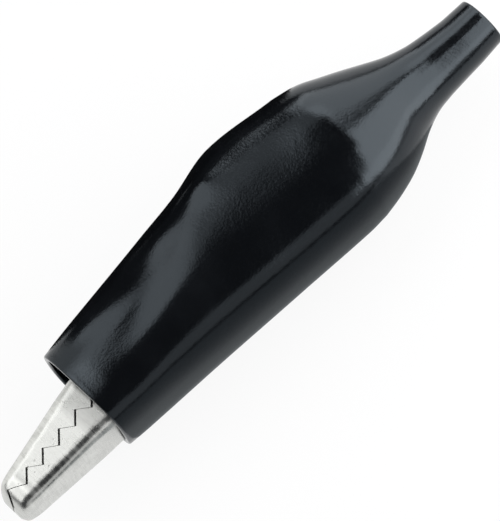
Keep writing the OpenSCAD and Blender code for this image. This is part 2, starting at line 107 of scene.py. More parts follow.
# Rivet and spring. Heads and the collar are given as radius and height.
RIVET_RADIUS = 1.2
RIVET_HEAD = (1.9, 0.5)
RIVET_RIM = 0.06
WIRE_RADIUS = 0.3
COIL_RADIUS = 1.65
COIL_TURNS = 3
TURN_PITCH = 0.65
LEG_REACH = 6.0
LEG_GAP = 0.06

# Clamp screw, its collar in the tail, and the crimp
CABLE_HEIGHT = 0.05
SCREW_X = 31.4
SCREW_RADIUS = 1.25
SCREW_HEAD = (2.1, 1.15)
SCREW_GAP = 0.05
SCREW_TIP = 0.15
HEAD_EDGE = 0.06
CROWN_EDGE = (0.08, 0.1)
CROWN_RADIUS = 2.6
SLOT = 0.55
THREAD_DEPTH = 0.14
THREAD_PITCH = 0.45
THREAD_TURNS = 2.3
THREAD_RADIUS = 0.16
THREAD_SEAT = 0.03
THREAD_MIDDLE = 0.62
COLLAR = (1.75, 0.5)
COLLAR_GAP = 0.05
STRIP_START = SCREW_X + TAIL_HALF / 2
CRIMP = (33.5, 35.5)
CRIMP_RADIUS = 1.15
CRIMP_TAB = 0.55

# Boot. Its mouth is drawn in by a depth over a reach, and powers say how square a ring is above and below.
BOOT_WALL = 0.4
BOOT_LIP = 0.12
BOOT_START = 8.0
BOOT_RISE = math.tan(math.radians(5.6))
MOUTH_HEIGHT = 4.7
MOUTH_GAP = 0.19
MOUTH_SPACE = 1.0
MOUTH_HALF = FIXED_HALF + MOUTH_SPACE + BOOT_WALL
MOUTH_EASE = 1.6
MOUTH_PINCH = (0.13, 1.2)
MOUTH_POWER = (2.8, 3.2)
BOOT_GAP = 0.4
BODY_HALF = 4.1
BODY_POWER = 2.7
SWELL_START = PIVOT[0] + 3.1
SHOULDER = LEVER_END[0]
NECK_START = 37.0
NECK_RADIUS = (2.0, 1.7)
NECK_BORE = 1.3
BOOT_END = 42.0


def row(x, y, z):
    """A place on the clip as a point of the shared frame, in metres."""
    return Vector(((x + TO_ROW[0]) * MM, (y + TO_ROW[1]) * MM, (z + TO_ROW[2]) * MM))


def curve(pairs, x):
    """Value of a smooth curve at place x, through pairs of place and value."""
    last = len(pairs) - 1
    i = min(max(sum(p[0] <= x for p in pairs) - 1, 0), last - 1)

    def slope(k):
        before, after = pairs[max(k - 1, 0)], pairs[min(k + 1, last)]
        return (after[1] - before[1]) / (after[0] - before[0])

    run = pairs[i + 1][0] - pairs[i][0]
    u = min(max((x - pairs[i][0]) / run, 0), 1)
    return (
        pairs[i][1] * (2 * u**3 - 3 * u**2 + 1)
        + slope(i) * run * (u**3 - 2 * u**2 + u)
        + pairs[i + 1][1] * (3 * u**2 - 2 * u**3)
        + slope(i + 1) * run * (u**3 - u**2)
    )


def eased(x, start, end, low, high):
    """A value that eases from one level to another between two places."""
    u = min(max((x - start) / (end - start), 0), 1)
    return low + (high - low) * u * u * (3 - 2 * u)


def straight(pairs, x):
    """Value at place x of a line of straight pieces."""
    if x <= pairs[0][0]:
        return pairs[0][1]
    for (x0, y0), (x1, y1) in zip(pairs, pairs[1:]):
        if x <= x1:
            return y0 + (y1 - y0) * (x - x0) / max(x1 - x0, TINY)
    return pairs[-1][1]


def evenly(start, end, count):
    return [start + (end - start) * i / (count - 1) for i in range(count)]


# Nodes, for materials and for Geometry Nodes


class Wire:
    """A socket that can be added, multiplied and so on in plain Python."""

    def __init__(self, tree, socket):
        self.tree, self.socket = tree, socket

    def math(self, operation, *others):
        node = self.tree.nodes.new("ShaderNodeMath")
        node.operation = operation
        for slot, value in zip(node.inputs, (self, *others)):
            feed(self.tree, slot, value)
        return Wire(self.tree, node.outputs[0])

    def __add__(self, other):
        return self.math("ADD", other)

    def __sub__(self, other):
        return self.math("SUBTRACT", other)

    def __mul__(self, other):
        return self.math("MULTIPLY", other)

    def __truediv__(self, other):
        return self.math("DIVIDE", other)

    def __pow__(self, other):
        return self.math("POWER", other)


def feed(tree, slot, value):
    """Link a wire or another socket into a slot, or set the slot's own value."""
    if isinstance(value, Wire):
        value = value.socket
    if isinstance(value, bpy.types.NodeSocket):
        tree.links.new(value, slot)
    else:
        slot.default_value = value


def add(tree, kind, inputs=None, **settings):
    """A new node with its settings and its inputs, which are named or numbered."""
    node = tree.nodes.new(kind)
    for name, value in settings.items():
        setattr(node, name, value)
    for name, value in (inputs or {}).items():
        feed(tree, node.inputs[name], value)
    return node


def out(tree, kind, inputs=None, output=0, **settings):
    """The output of a new node, as a wire."""
    return Wire(tree, add(tree, kind, inputs, **settings).outputs[output])


def mix(tree, kind, share, first, second):
    """A share of the second of two colours or vectors, mixed into the first."""
    node = add(tree, "ShaderNodeMix", data_type="RGBA" if kind == "Color" else "VECTOR")
    values = {"Factor_Float": share, f"A_{kind}": first, f"B_{kind}": second}
    for slot in node.inputs:
        if slot.identifier in values:
            feed(tree, slot, values[slot.identifier])
    return Wire(tree, next(s for s in node.outputs if s.identifier == f"Result_{kind}"))


def level(tree, value, given, wanted=(0.0, 1.0)):
    """A value carried smoothly from a given range to a wanted one."""
    inputs = {0: value, 1: given[0], 2: given[1], 3: wanted[0], 4: wanted[1]}
    return out(tree, "ShaderNodeMapRange", inputs, interpolation_type="SMOOTHSTEP")


def noise(tree, place, scale, detail, roughness, distortion=0.0):
    """Noise from 0 to 1, with a number of cells for each unit of place."""
    inputs = {"Vector": place, "Scale": scale, "Detail": detail, "Roughness": roughness}
    inputs["Distortion"] = distortion
    return out(tree, "ShaderNodeTexNoise", inputs)


def opaque(colour):
    return (*colour, 1.0)


def new_material(name):
    material = bpy.data.materials.new(name)
    material.use_nodes = True
    tree = material.node_tree
    tree.nodes.clear()
    surface = add(tree, "ShaderNodeBsdfPrincipled")
    output = add(tree, "ShaderNodeOutputMaterial")
    tree.links.new(surface.outputs[0], output.inputs["Surface"])
    return material, tree, surface


def bump(tree, surface, height, distance):
    inputs = {"Height": height, "Distance": distance * MM, "Strength": 1.0}
    feed(tree, surface.inputs["Normal"], out(tree, "ShaderNodeBump", inputs))


def vinyl(name, colour, bloomed, tint, depth):
    """Glossy vinyl: a fine grain on a faint orange peel, and a bloom in patches, which dulls its gloss."""
    material, tree, surface = new_material(name)
    place = out(tree, "ShaderNodeTexCoord", output="Object")
    bloom = noise(tree, place, scale=190.0, detail=3.0, roughness=0.55)
    peel = noise(tree, place, scale=2600.0, detail=3.0, roughness=0.5)
    grain = noise(tree, place, scale=7500.0, detail=2.0, roughness=0.6)
    share = level(tree, bloom, (0.35, 0.75))
    feed(tree, surface.inputs["Base Color"], mix(tree, "Color", share, opaque(colour), opaque(bloomed)))
    dulled = level(tree, bloom, (0.25, 0.8), (0.12, 0.2))
    feed(tree, surface.inputs["Roughness"], dulled + level(tree, grain, (0.3, 0.8), (-0.02, 0.05)))
    surface.inputs["IOR"].default_value = 1.5
    surface.inputs["Specular Tint"].default_value = opaque(tint)
    bump(tree, surface, peel * 0.4 + grain * 0.6, depth)
    return material


def plated_steel(name, colour, dull, gloss, depth):
    """Nickel plate over folded sheet: cross streaks from rolling, soft clouds and a few small pits."""
    material, tree, surface = new_material(name)
    place = out(tree, "ShaderNodeTexCoord", output="Object")
    rolled = out(tree, "ShaderNodeMapping", {"Vector": place, "Scale": (1.0, 0.12, 0.12)})
    streaks = noise(tree, rolled, scale=5200.0, detail=3.0, roughness=0.6)
    clouds = noise(tree, place, scale=620.0, detail=4.0, roughness=0.6, distortion=0.4)
    pits = level(tree, noise(tree, place, scale=4200.0, detail=1.0, roughness=0.5), (0.70, 0.78))
    share = level(tree, clouds * 0.6 + streaks * 0.4, (0.35, 0.66))
    plate = mix(tree, "Color", share, opaque(dull), opaque(colour))
    pitted = opaque(0.6 * c for c in dull)
    feed(tree, surface.inputs["Base Color"], mix(tree, "Color", pits * 0.35, plate, pitted))
    surface.inputs["Metallic"].default_value = 1.0
    worn = level(tree, clouds, (0.3, 0.7), (gloss - 0.05, gloss + 0.07))
    feed(tree, surface.inputs["Roughness"], worn + level(tree, streaks, (0.3, 0.7), (-0.04, 0.05)))
    bump(tree, surface, streaks * 0.5 + clouds * 0.4 + pits * -0.6, depth)
    return material


def drawn_wire(name, colour, dull, depth):
    """Plated spring wire, with fine lines from drawing."""
    material, tree, surface = new_material(name)
    place = out(tree, "ShaderNodeTexCoord", output="Object")
    clouds = noise(tree, place, scale=900.0, detail=4.0, roughness=0.6)
    lines = noise(tree, place, scale=7000.0, detail=2.0, roughness=0.6)
    plate = mix(tree, "Color", level(tree, clouds, (0.3, 0.7)), opaque(dull), opaque(colour))
    feed(tree, surface.inputs["Base Color"], plate)
    surface.inputs["Metallic"].default_value = 1.0
    feed(tree, surface.inputs["Roughness"], level(tree, lines, (0.3, 0.7), (0.22, 0.38)))
    bump(tree, surface, lines, depth)
    return material


VINYL = vinyl("glossy_black_vinyl", colour=(0.002, 0.0023, 0.003), bloomed=(0.0034, 0.0038, 0.0048),
              tint=(0.78, 0.9, 1.0), depth=0.012)
JAW_STEEL = plated_steel("nickel_plated_sheet", colour=(0.71, 0.715, 0.69), dull=(0.52, 0.525, 0.505),
                         gloss=0.27, depth=0.006)
RIVET_STEEL = plated_steel("nickel_plated_rivet", colour=(0.76, 0.76, 0.75), dull=(0.64, 0.64, 0.63),
                           gloss=0.28, depth=0.006)
SCREW_STEEL = plated_steel("nickel_plated_screw", colour=(0.77, 0.77, 0.755), dull=(0.62, 0.62, 0.61),
                           gloss=0.27, depth=0.006)
SPRING_WIRE = drawn_wire("plated_spring_wire", colour=(0.66, 0.66, 0.65), dull=(0.5, 0.5, 0.49),
                         depth=0.004)


# Meshes

WELD = 0.0008 * MM
SEAM_WELD = 0.0005 * MM
EDGE_ROUND = 0.045 * MM


def new_piece(name, material, points=(), faces=()):
    mesh = bpy.data.meshes.new(name)
    mesh.from_pydata([tuple(p) for p in points], [], [tuple(f) for f in faces])
    mesh.materials.append(material)
    piece = bpy.data.objects.new(name, mesh)
    bpy.context.scene.collection.objects.link(piece)
    return piece


def tidy_mesh(piece, sharp=35.0, outward=True):
    """Merge doubled points, turn the faces outwards and shade smooth up to an angle."""
    mesh = piece.data
    shell = bmesh.new()
    shell.from_mesh(mesh)
    bmesh.ops.remove_doubles(shell, verts=shell.verts, dist=WELD)
    bmesh.ops.dissolve_degenerate(shell, edges=shell.edges, dist=WELD)
    if outward:
        bmesh.ops.recalc_face_normals(shell, faces=shell.faces)
    shell.to_mesh(mesh)
    shell.free()
    mesh.shade_smooth()
    mesh.set_sharp_from_angle(angle=math.radians(sharp))


def soften(piece):
    """Round the sharp edges of pressed sheet."""
    bevel = piece.modifiers.new("rounded_edges", "BEVEL")
    bevel.width, bevel.segments = EDGE_ROUND, 2
    bevel.limit_method, bevel.angle_limit = "ANGLE", math.radians(35.0)
    bevel.use_clamp_overlap = True


def finish_piece(piece, body, node):
    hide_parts(node)
    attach(piece, body)


def bake(piece):
    """Turn the result of a piece's nodes into its plain mesh, and take the nodes off."""
    evaluated = piece.evaluated_get(bpy.context.evaluated_depsgraph_get())
    mesh = bpy.data.meshes.new_from_object(evaluated)
    mesh.name = piece.name
    piece.modifiers.clear()
    piece.data = mesh


def run_nodes(piece, tree, values):
    """Put a node tree on a piece with its named sizes, and keep what it makes."""
    modifier = piece.modifiers.new(tree.name, "NODES")
    modifier.node_group = tree
    for item in tree.interface.items_tree:
        if item.item_type == "SOCKET" and item.in_out == "INPUT" and item.name in values:
            modifier[item.identifier] = values[item.name]
    bake(piece)


def new_tree(name, sockets):
    """A Geometry Nodes tree with a geometry in and out, and named inputs."""
    tree = bpy.data.node_groups.new(name, "GeometryNodeTree")
    tree.interface.new_socket("Geometry", in_out="INPUT", socket_type="NodeSocketGeometry")
    for socket, kind in sockets:
        tree.interface.new_socket(socket, in_out="INPUT", socket_type=f"NodeSocket{kind}")
    tree.interface.new_socket("Geometry", in_out="OUTPUT", socket_type="NodeSocketGeometry")
    entry = add(tree, "NodeGroupInput")
    return tree, {s.name: Wire(tree, s) for s in entry.outputs if s.name}


def end_tree(tree, geometry, material):
    """Smooth shading, real geometry and a material, as every tree ends."""
    smooth = out(tree, "GeometryNodeSetShadeSmooth", {"Geometry": geometry})
    real = out(tree, "GeometryNodeRealizeInstances", {"Geometry": smooth})
    painted = out(tree, "GeometryNodeSetMaterial", {"Geometry": real, "Material": material})
    feed(tree, add(tree, "NodeGroupOutput").inputs[0], painted)


# The back of the fixed jaw, which the boot follows as well


def corner_drop(x, radius):
    return 0 if x >= radius else radius - math.sqrt(radius**2 - (radius - max(x, 0)) ** 2)


def fixed_back(x):
    """Outer height of the back of the fixed jaw, its handle and its tail."""
    if x < HANDLE_START:
        return corner_drop(x, FIXED_CORNER) - FIXED_DEPTH - x * FIXED_SLOPE
    if x < HANDLE_END:
        return HANDLE_ROOT - (x - HANDLE_START) * HANDLE_SLOPE
    return eased(x, HANDLE_END, TAIL_START, HANDLE_BOTTOM, TAIL_TOP - SHEET)


# The boot: rings round the clip, each a rounded square that turns into a circle at the neck


def boot_under(x):
    gap = eased(x, BOOT_START, HANDLE_START, MOUTH_GAP, BOOT_GAP)
    return fixed_back(x) - gap - BOOT_WALL


def boot_rise(x):
    return MOUTH_HEIGHT + (x - BOOT_START) * BOOT_RISE


TOP_LINE = [
    (BOOT_START, MOUTH_HEIGHT),
    (PIVOT[0], boot_rise(PIVOT[0])),
    (SWELL_START, boot_rise(SWELL_START)),
    (LEVER_PEAK[0], LEVER_PEAK[1] + BOOT_GAP + BOOT_WALL),
    (SHOULDER, LEVER_END[1] + BOOT_GAP + BOOT_WALL),
]
BOTTOM_PLACES = (BOOT_START, (BOOT_START + HANDLE_START) / 2, HANDLE_START, PIVOT[0], HANDLE_END)
BOTTOM_LINE = [(x, boot_under(x)) for x in BOTTOM_PLACES] + [(SHOULDER, boot_under(HANDLE_END))]

# How much of the body is left over the neck, against the way from the shoulder to the neck
TOP_SHARES = [
    (0, 1), (0.23, 0.87), (0.39, 0.715), (0.55, 0.56), (0.71, 0.39), (0.87, 0.22), (1.03, 0.1), (1.19, 0.045),
    (1.4, 0),
]
BOTTOM_SHARES = [
    (0, 1), (0.23, 0.87), (0.39, 0.73), (0.55, 0.5), (0.71, 0.21), (0.87, 0.01), (1, -0.05), (1.15, -0.04),
    (1.4, 0),
]
SIDE_SHARES = [
    (0, 1), (0.15, 0.985), (0.3, 0.86), (0.45, 0.69), (0.6, 0.48), (0.75, 0.27), (0.9, 0.11), (1.05, 0.02),
    (1.25, 0),
]

# Runs of rings: from, to, and how many
BODY_RUN = (BOOT_START + 0.3, SHOULDER, 84)
TAPER_RUN = (SHOULDER + 0.2, NECK_START + 1.6, 44)
NECK_RUN = (NECK_START + 1.9, BOOT_END - 0.25, 12)
BORE_RUN = (BOOT_END - 0.4, NECK_START + 0.4, 10)
CAVITY_END = (NECK_START + 0.1, BOOT_WALL + 0.08)
RING_VALUES = ("place", "top", "bottom", "half", "upper", "lower", "inset")
BOOT_SIDES = 112

# Soft forms: place along X, height, reach along X, reach in height, turn in degrees, and rise in millimetres,
# which is below nought for a hollow. They lie on both broad faces.
SOFT_FORMS = (
    (17.8, 1.0, 2.8, 1.8, 20.0, 0.12),
    (13.8, 1.3, 2.4, 0.7, 14.0, -0.09),
    (17.0, 2.6, 2.8, 0.9, 22.0, -0.12),
    (10.2, 4.5, 2.2, 1.0, 4.0, 0.14),
    (21.8, 5.0, 1.7, 1.1, -30.0, 0.24),
    (15.5, 3.8, 2.5, 1.3, -6.0, -0.3),
    (27.0, 2.2, 2.0, 1.6, 10.0, -0.045),
    (10.6, -1.2, 2.2, 0.7, 4.0, -0.08),
    (31.0, 2.4, 3.0, 1.6, -10.0, 0.12),
)
# They fade in behind the mouth, out over the taper, and towards the edges of the broad faces
SOFT_START = (BOOT_START, BOOT_START + 2.5)
SOFT_END = (SHOULDER - 2.0, SHOULDER + 3.0)
BROAD_FACE = (0.2, 0.75)
FREE_RISE = 10.0
WAVE_DEPTH = 0.06
WAVE_SIZE = 0.16
WAVE_SPREAD = 4.0
INDEX_NUDGE = 0.0001


def taper(shares, x):
    u = (x - SHOULDER) / (NECK_START - SHOULDER)
    return curve(shares, u) if u < shares[-1][0] else 0


def along_boot(line, shares, neck, x):
    return curve(line, x) if x < SHOULDER else neck + (curve(line, SHOULDER) - neck) * taper(shares, x)


def neck_radius(x):
    return straight([(NECK_START, NECK_RADIUS[0]), (BOOT_END, NECK_RADIUS[1])], x)


def boot_ring(x, inset):
    """Place, top, bottom, half width, upper and lower squareness, and inset of one ring of the boot."""
    neck = neck_radius(x)
    top = along_boot(TOP_LINE, TOP_SHARES, CABLE_HEIGHT + neck, x)
    bottom = along_boot(BOTTOM_LINE, BOTTOM_SHARES, CABLE_HEIGHT - neck, x)
    if x < SHOULDER:
        narrowing = max((PIVOT[0] - x) / (PIVOT[0] - BOOT_START), 0) ** MOUTH_EASE
        pinch = MOUTH_PINCH[0] * math.exp(-(((x - BOOT_START) / MOUTH_PINCH[1]) ** 2))
        half = BODY_HALF - (BODY_HALF - MOUTH_HALF) * narrowing - pinch
        upper, lower = (eased(x, BOOT_START, PIVOT[0], mouth, BODY_POWER) for mouth in MOUTH_POWER)
    else:
        half = neck + (BODY_HALF - neck) * taper(SIDE_SHARES, x)
        upper = lower = eased(x, SHOULDER, NECK_START, BODY_POWER, 2)
    return x, top, bottom, half, upper, lower, inset


def boot_rings():
    """All rings in one closed round: up the cavity, round the lip, along the outside and back up the bore."""
    quarter = [math.radians(a) for a in (0, 22.5, 45, 67.5, 90)]
    bends = [(BOOT_LIP * (1 - math.sin(a)), BOOT_LIP * (1 - math.cos(a))) for a in quarter]
    end_wall = NECK_RADIUS[1] - NECK_BORE
    body = evenly(*BODY_RUN) + evenly(*TAPER_RUN)
    inside = [(x, BOOT_WALL) for x in reversed([x for x in body if x < NECK_START])]
    lip_in = [(BOOT_START + s, BOOT_WALL - c) for s, c in bends]
    lip_out = [(BOOT_START + c, s) for s, c in bends]
    outside = [(x, 0) for x in body + evenly(*NECK_RUN)]
    end_out = [(BOOT_END - s, c) for s, c in bends]
    end_in = [(BOOT_END - c, end_wall - s) for s, c in bends]
    bore = [(x, neck_radius(x) - NECK_BORE) for x in evenly(*BORE_RUN)]
    path = [CAVITY_END] + inside + lip_in + lip_out + outside + end_out + end_in + bore + [CAVITY_END]
    return [boot_ring(x, inset) for x, inset in path]


def read_ring(tree, path, ring):
    """The values of a ring, read from its point on the path."""
    for name in RING_VALUES:
        named = out(tree, "GeometryNodeInputNamedAttribute", {"Name": name}, data_type="FLOAT")
        yield out(tree, "GeometryNodeSampleIndex", {"Geometry": path, "Value": named, "Index": ring})


def soft_rise(place, height):
    """Rise of all soft forms together, over a point of a broad face."""
    total = None
    for x0, y0, reach_x, reach_y, turn, rise in SOFT_FORMS:
        cos, sin = math.cos(math.radians(turn)), math.sin(math.radians(turn))
        dx, dy = place - x0, height - y0
        along = (dx * cos + dy * sin) / reach_x
        over = (dy * cos - dx * sin) / reach_y
        form = (along * along + over * over).math("MULTIPLY", -1.0).math("EXPONENT") * rise
        total = form if total is None else total + form
    return total


def boot_tree():
    """Rings swept into a sleeve, with soft forms pressed into its broad faces."""
    sockets = [("Sides", "Int"), ("Wave depth", "Float"), ("Wave size", "Float"), ("Material", "Material")]
    tree, given = new_tree("boot_sleeve", sockets)
    size = add(tree, "GeometryNodeAttributeDomainSize", {0: given["Geometry"]})
    around = given["Sides"] + 1
    counts = {"Vertices X": size.outputs["Point Count"], "Vertices Y": around}
    grid = out(tree, "GeometryNodeMeshGrid", counts)
    index = out(tree, "GeometryNodeInputIndex")
    ring = (index / around + INDEX_NUDGE).math("FLOOR")
    side = index - ring * around
    place, top, bottom, half, upper, lower, inset = read_ring(tree, given["Geometry"], ring)
    angle = side * (2 * math.pi) / given["Sides"]
    up, across = angle.math("COSINE"), angle.math("SINE")
    power = lower + (upper - lower) * up.math("GREATER_THAN", 0.0)
    exponent = power.math("POWER", -1.0) * 2.0
    middle, tall = (top + bottom) * 0.5, (top - bottom) * 0.5
    height = up.math("SIGN") * up.math("ABSOLUTE") ** exponent
    width = across.math("SIGN") * across.math("ABSOLUTE") ** exponent
    # The soft forms are the same for the inner and outer wall, so the wall keeps its thickness
    outer = middle + height * tall
    press = soft_rise(place, outer)
    spot = out(tree, "ShaderNodeCombineXYZ", {0: place, 1: outer, 2: width * WAVE_SPREAD})
    wave = (noise(tree, spot, given["Wave size"], 1.0, 0.4) - 0.5) * given["Wave depth"]
    body = level(tree, place, SOFT_START) * level(tree, place, SOFT_END, (1.0, 0.0))
    flat = level(tree, across.math("ABSOLUTE"), BROAD_FACE)
    y = middle + height * (tall - inset) + height * wave * body
    # On the resting side nothing stands out over the broad face, which lies on the floor
    resting = across.math("LESS_THAN", 0.0)
    wave = wave - resting * given["Wave depth"] * 0.5
    press = press.math("MINIMUM", resting * -FREE_RISE + FREE_RISE)
    z = width * (half - inset) + across.math("SIGN") * press * body * flat + width * wave * body
    moved = {axis: (value + shift) * MM for axis, (value, shift) in enumerate(zip((place, y, z), TO_ROW))}
    point = out(tree, "ShaderNodeCombineXYZ", moved)
    placed = out(tree, "GeometryNodeSetPosition", {"Geometry": grid, "Position": point})
    closed = out(tree, "GeometryNodeMergeByDistance", {"Geometry": placed, "Distance": SEAM_WELD})
    end_tree(tree, closed, given["Material"])
    return tree


def make_boot():
    rings = boot_rings()
    boot = new_piece("boot", VINYL, [(r[0] * MM, 0, 0) for r in rings])
    for column, name in enumerate(RING_VALUES):
        values = boot.data.attributes.new(name, "FLOAT", "POINT")
        values.data.foreach_set("value", [r[column] for r in rings])
    run_nodes(boot, boot_tree(), {
        "Sides": BOOT_SIDES, "Wave depth": WAVE_DEPTH, "Wave size": WAVE_SIZE, "Material": VINYL})
    tidy_mesh(boot, 50.0)
    finish_piece(boot, "boot", "insulating_boot")


# The jaws: a sheet folded into a channel, with its walls trimmed to a side view

TOOTH_PITCH = 1.526
TOOTH_COUNT = 5
TOOTH_RISE = 0.35
NOSE_TOOTH = 0.66
NOSE_CREST = 0.42
NOSE_DROP = 0.4
NOSE_FLAT = 0.12
FIRST_TROUGH = 1.66
LAST_TROUGH = FIRST_TROUGH + TOOTH_COUNT * TOOTH_PITCH
BITE_GAP = 0.11
TOOTH_SHIFT = 0.08
BITE = math.radians(2.9)
THROAT = (10.1, 0.1)


def on_bite(along, height):
    return (
        PIVOT[0] + (along - PIVOT[0]) * math.cos(BITE) - height * math.sin(BITE),
        PIVOT[1] + (along - PIVOT[0]) * math.sin(BITE) + height * math.cos(BITE),
    )


def teeth(shift, rise):
    """The zigzag of the teeth, from the nose to the throat behind the last trough."""
    line = [on_bite(-1, rise - NOSE_DROP), on_bite(NOSE_FLAT - shift, rise - NOSE_DROP)]
    line.append(on_bite(NOSE_TOOTH - shift, rise + NOSE_CREST))
    for i in range(TOOTH_COUNT):
        start = FIRST_TROUGH + i * TOOTH_PITCH - shift
        line += [on_bite(start, rise - TOOTH_RISE), on_bite(start + TOOTH_PITCH / 2, rise + TOOTH_RISE)]
    line.append(on_bite(LAST_TROUGH - shift, rise - TOOTH_RISE))
    return line + [on_bite(THROAT[0], rise - THROAT[1]), on_bite(JOGGLE[1], rise - THROAT[1])]


def on_ear(radius, angle):
    a = math.radians(angle)
    return PIVOT[0] + radius * math.cos(a), PIVOT[1] + radius * math.sin(a)


FIXED_TRIM = teeth(0, 0) + [on_ear(EAR_RADIUS, angle) for angle in FIXED_EAR_ARC] + [
    (PIVOT[0] + 2 * EAR_RADIUS, WALL_TOP + SHEET),
    (HANDLE_END - SHEET, WALL_TOP),
    (TAIL_START - SHEET, TAIL_TOP),
    (CRIMP[1] + 1, TAIL_TOP),
]
MOVING_TRIM = teeth(TOOTH_SHIFT, BITE_GAP) + [on_ear(MOVING_EAR, angle) for angle in MOVING_EAR_ARC] + [
    (LEVER_RISE[0], LEVER_RISE[1] - LEVER_WALL - SHEET / 2),
    (LEVER_PEAK[0], LEVER_PEAK[1] - LEVER_WALL),
    (LEVER_END[0] - PAD_ROUND, LEVER_END[1] - PAD_WALL),
    (LEVER_END[0] + 1, LEVER_END[1] - SHEET),
]


def trimmed(line, radius, side):
    """Height at which the walls end: a line, and the round of the ears where that reaches further."""
    def edge(x):
        y = straight(line, x)
        if abs(x - PIVOT[0]) < radius:
            rim = PIVOT[1] + side * math.sqrt(radius**2 - (x - PIVOT[0]) ** 2)
            y = max(y, rim) if side > 0 else min(y, rim)
        return y
    return edge


def jaw_half(x):
    return straight([(NOSE_LENGTH, NOSE_HALF), (JAW_TAPER, FIXED_HALF)], x)


def fixed_half(x):
    if x < HANDLE_END:
        return jaw_half(x)
    return eased(x, HANDLE_END, TAIL_START, FIXED_HALF, TAIL_HALF) if x <= STRIP_START else STRIP_HALF


def fixed_fold(x):
    if x < TAIL_START:
        return eased(x, HANDLE_START, HANDLE_START + HANDLE_WIDENING, BEND_RADIUS, HANDLE_RADIUS)
    return BEND_RADIUS


def moving_line(x):
    return MOVING_DEPTH + x * MOVING_SLOPE


LEVER_LINE = [
    (LEVER_ROOT - LEVER_BEND, moving_line(LEVER_ROOT - LEVER_BEND)),
    (LEVER_ROOT, moving_line(LEVER_ROOT)),
    (LEVER_ROOT + LEVER_BEND, moving_line(LEVER_ROOT + LEVER_BEND) - LEVER_DIP),
    LEVER_RISE, LEVER_PEAK, LEVER_END,
]


def moving_back(x):
    return moving_line(x) - corner_drop(x, MOVING_CORNER) if x < LEVER_ROOT else curve(LEVER_LINE, x)


def nose_share(distance, length):
    if distance >= length:
        return 1
    return (1 - (1 - max(distance, 0) / length) ** NOSE_ROUNDNESS) ** (1 / NOSE_ROUNDNESS)


def moving_half(x):
    if x < JOGGLE[0]:
        return jaw_half(x)
    if x < PIVOT[0]:
        return eased(x, JOGGLE[0], JOGGLE_END, FIXED_HALF, MOVING_HALF)
    end = PAD_WIDTH[0] + PAD_WIDTH[1] * nose_share(LEVER_END[0] + SHEET / 10 - x, PAD_ROUND)
    return eased(x, PAD_START, LEVER_END[0] - PAD_ROUND, MOVING_HALF, LEVER_HALF) * end


def moving_fold(x):
    return eased(x, PAD_START - 1, PAD_START + 2, BEND_RADIUS, LEVER_RADIUS)


BACK_POINTS, FOLD_POINTS, WALL_POINTS = 5, 10, 7
NOSE_RINGS = 22
EAR_RINGS = 41
RING_STEP = 0.3
LEAST_FOLD = 0.1


def half_section(back, half, radius, edge, side):
    """Points of half a channel, from the middle of its back to the end of its wall."""
    rise = max(side * (edge - back), 0)
    radius = min(radius, half)
    turn = math.pi / 2 if rise >= radius else math.acos(1 - rise / max(radius, TINY))
    points = [(back, z) for z in evenly(0, half - radius, BACK_POINTS)]
    for a in evenly(0, turn, FOLD_POINTS)[1:]:
        points.append((back + side * radius * (1 - math.cos(a)), half - radius + radius * math.sin(a)))
    folded = radius * (1 - math.cos(turn))
    wall = evenly(folded, max(rise, folded), WALL_POINTS)[1:]
    return points + [(back + side * h, points[-1][1]) for h in wall]


def channel_grid(places, sizes, side, inset):
    """Rings of the inner or outer side of a folded channel, each from one wall's end to the other's."""
    back, half, fold, edge = sizes
    rings = []
    for x, nose in places:
        share = 1
        if nose is not None:
            x = inset + (NOSE_LENGTH - inset) * (1 - math.cos(nose) ** (2 / NOSE_ROUNDNESS))
            share = max(math.sin(nose), 0) ** (2 / NOSE_ROUNDNESS)
        radius = max(fold(x) - inset, LEAST_FOLD)
        section = half_section(back(x) + side * inset, (half(x) - inset) * share, radius, edge(x), side)
        ring = [(y, -z) for y, z in reversed(section)] + section[1:]
        rings.append([row(x, y, z) for y, z in ring])
    return rings


def folded_sheet(name, places, sizes, side):
    """A closed sheet between the outer and inner sides of a channel."""
    outer = channel_grid(places, sizes, side, 0)
    inner = channel_grid(places, sizes, side, SHEET)
    wide, long = len(outer[0]), len(outer)
    points = [p for ring in outer + inner for p in ring]

    def at(layer, i, k):
        return (layer * long + i) * wide + k

    faces = []
    for i in range(long - 1):
        for k in range(wide - 1):
            faces.append((at(0, i, k), at(0, i, k + 1), at(0, i + 1, k + 1), at(0, i + 1, k)))
            faces.append((at(1, i, k), at(1, i + 1, k), at(1, i + 1, k + 1), at(1, i, k + 1)))
        for k in (0, wide - 1):
            faces.append((at(0, i, k), at(0, i + 1, k), at(1, i + 1, k), at(1, i, k)))
    end = long - 1
    for k in range(wide - 1):
        faces.append((at(0, end, k), at(0, end, k + 1), at(1, end, k + 1), at(1, end, k)))
    return new_piece(name, JAW_STEEL, points, faces)


def nose_angle(x, inset):
    """Where on the round of the nose a place lies, for the outer or inner side of the sheet."""
    share = min(max((x - inset) / (NOSE_LENGTH - inset), 0), 1)
    return math.acos(min((1 - share) ** (NOSE_ROUNDNESS / 2), 1))


def jaw_places(trim, end, bends):
    """Places of the rings: round the nose by angle, then along the jaw, one at each corner of the trim."""
    corners = [x for x, _ in trim if 0 < x < NOSE_LENGTH]
    angles = set(evenly(0, math.pi / 2, NOSE_RINGS)[:-1])
    angles.update(nose_angle(x, inset) for x in corners for inset in (0, SHEET) if x > inset)
    xs = {NOSE_LENGTH, end} | {x for x, _ in trim if NOSE_LENGTH < x < end} | set(bends)
    xs.update(evenly(NOSE_LENGTH, end, int((end - NOSE_LENGTH) / RING_STEP)))
    return [(0, a) for a in sorted(angles)] + [(x, None) for x in sorted(xs)]


def joined(name, pieces):
    """One piece from the meshes of several."""
    first = pieces[0]
    merged = bmesh.new()
    for piece in pieces:
        merged.from_mesh(piece.data)
    merged.to_mesh(first.data)
    merged.free()
    for piece in pieces[1:]:
        bpy.data.objects.remove(piece)
    first.name = name
    return first


